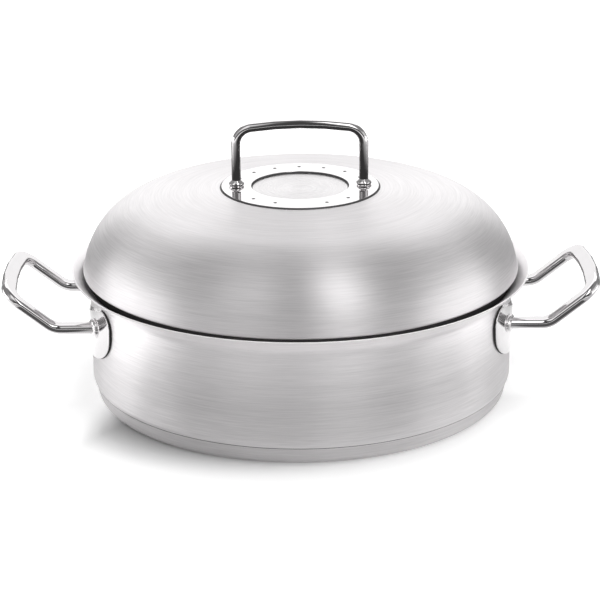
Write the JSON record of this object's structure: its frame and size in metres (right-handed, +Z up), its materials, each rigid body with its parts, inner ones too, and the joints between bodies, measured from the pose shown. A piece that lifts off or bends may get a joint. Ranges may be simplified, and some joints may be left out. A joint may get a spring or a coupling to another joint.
{
  "type": "serving pan with dome lid",
  "caption": "Round stainless steel serving pan with a flared pouring rim, a capsule base, looped side handles and a loose high dome lid with a bar handle.",
  "frame": {"origin": "middle of the flat underside of the base", "axes": "+X through the right side handle, +Y to the back, +Z up along the pan's axis"},
  "size_m": [0.398, 0.3056, 0.1851],
  "materials": {
    "brushed_steel": "fine brushed stainless steel, grain round the axis",
    "base_steel": "satin turned stainless steel",
    "polished_steel": "mirror polished stainless steel",
    "base_aluminium": "plain rolled aluminium"
  },
  "bodies": {
    "pan": {"pan_body": "brushed_steel", "base_core": "base_aluminium", "base_cap": "base_steel", "left_handle_plate": "polished_steel", "right_handle_plate": "polished_steel", "left_handle": "polished_steel", "right_handle": "polished_steel"},
    "lid": {"lid_dome": "brushed_steel", "lid_handle": "polished_steel", "left_lid_foot": "polished_steel", "right_lid_foot": "polished_steel"}
  },
  "joints": [
    {"name": "lid_lift", "type": "slide", "parent": "pan", "child": "lid", "axis": [0, 0, 1], "range_m": [0, 0.15]}
  ]
}
